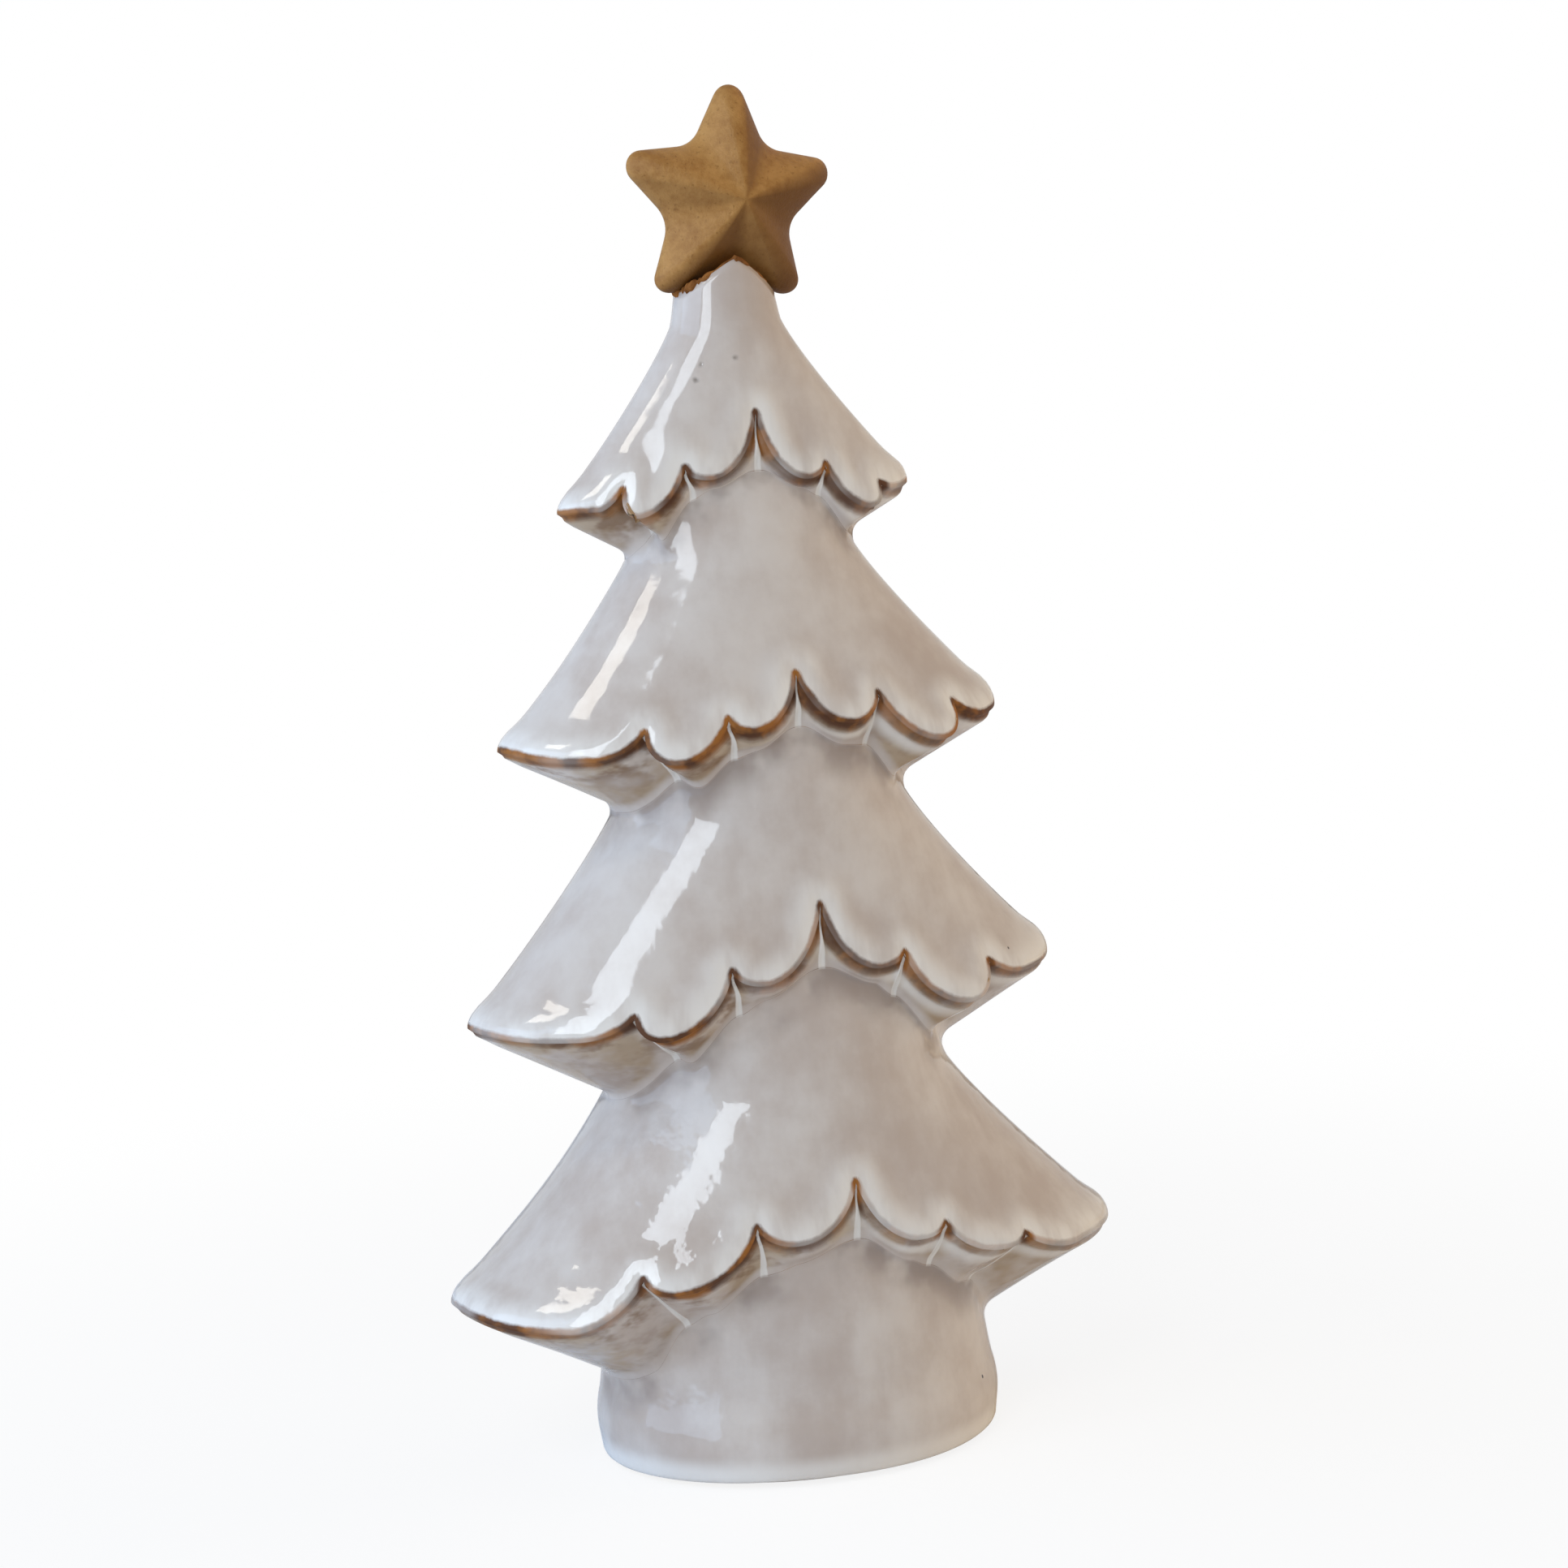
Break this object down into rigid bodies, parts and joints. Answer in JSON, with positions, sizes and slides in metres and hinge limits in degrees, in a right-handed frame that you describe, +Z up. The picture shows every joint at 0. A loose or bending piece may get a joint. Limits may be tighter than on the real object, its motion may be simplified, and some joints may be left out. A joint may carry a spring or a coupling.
{
  "type": "ceramic christmas tree",
  "caption": "Free-standing hollow stoneware tree with scalloped tiers, glossy off-white glaze, a bare clay star on top and felt under its foot.",
  "frame": {"origin": "middle of the footprint, on the surface that the tree stands on", "axes": "+Z up along the tree, X across its width, front faces -Y"},
  "size_m": [0.135, 0.0718, 0.2555],
  "materials": {
    "stoneware": "bare fired clay, matte",
    "glaze": "glossy off-white reactive glaze",
    "star_clay": "bare fine-grained clay, matte",
    "slip": "fired slip, rough",
    "felt": "pressed felt"
  },
  "bodies": {
    "root": {"tree_shell": "stoneware", "tree_glaze": "glaze", "star_topper": "star_clay", "star_slip_joint": "slip", "felt_pad_front_left": "felt", "felt_pad_front_right": "felt", "felt_pad_rear_left": "felt", "felt_pad_rear_right": "felt"}
  },
  "joints": []
}
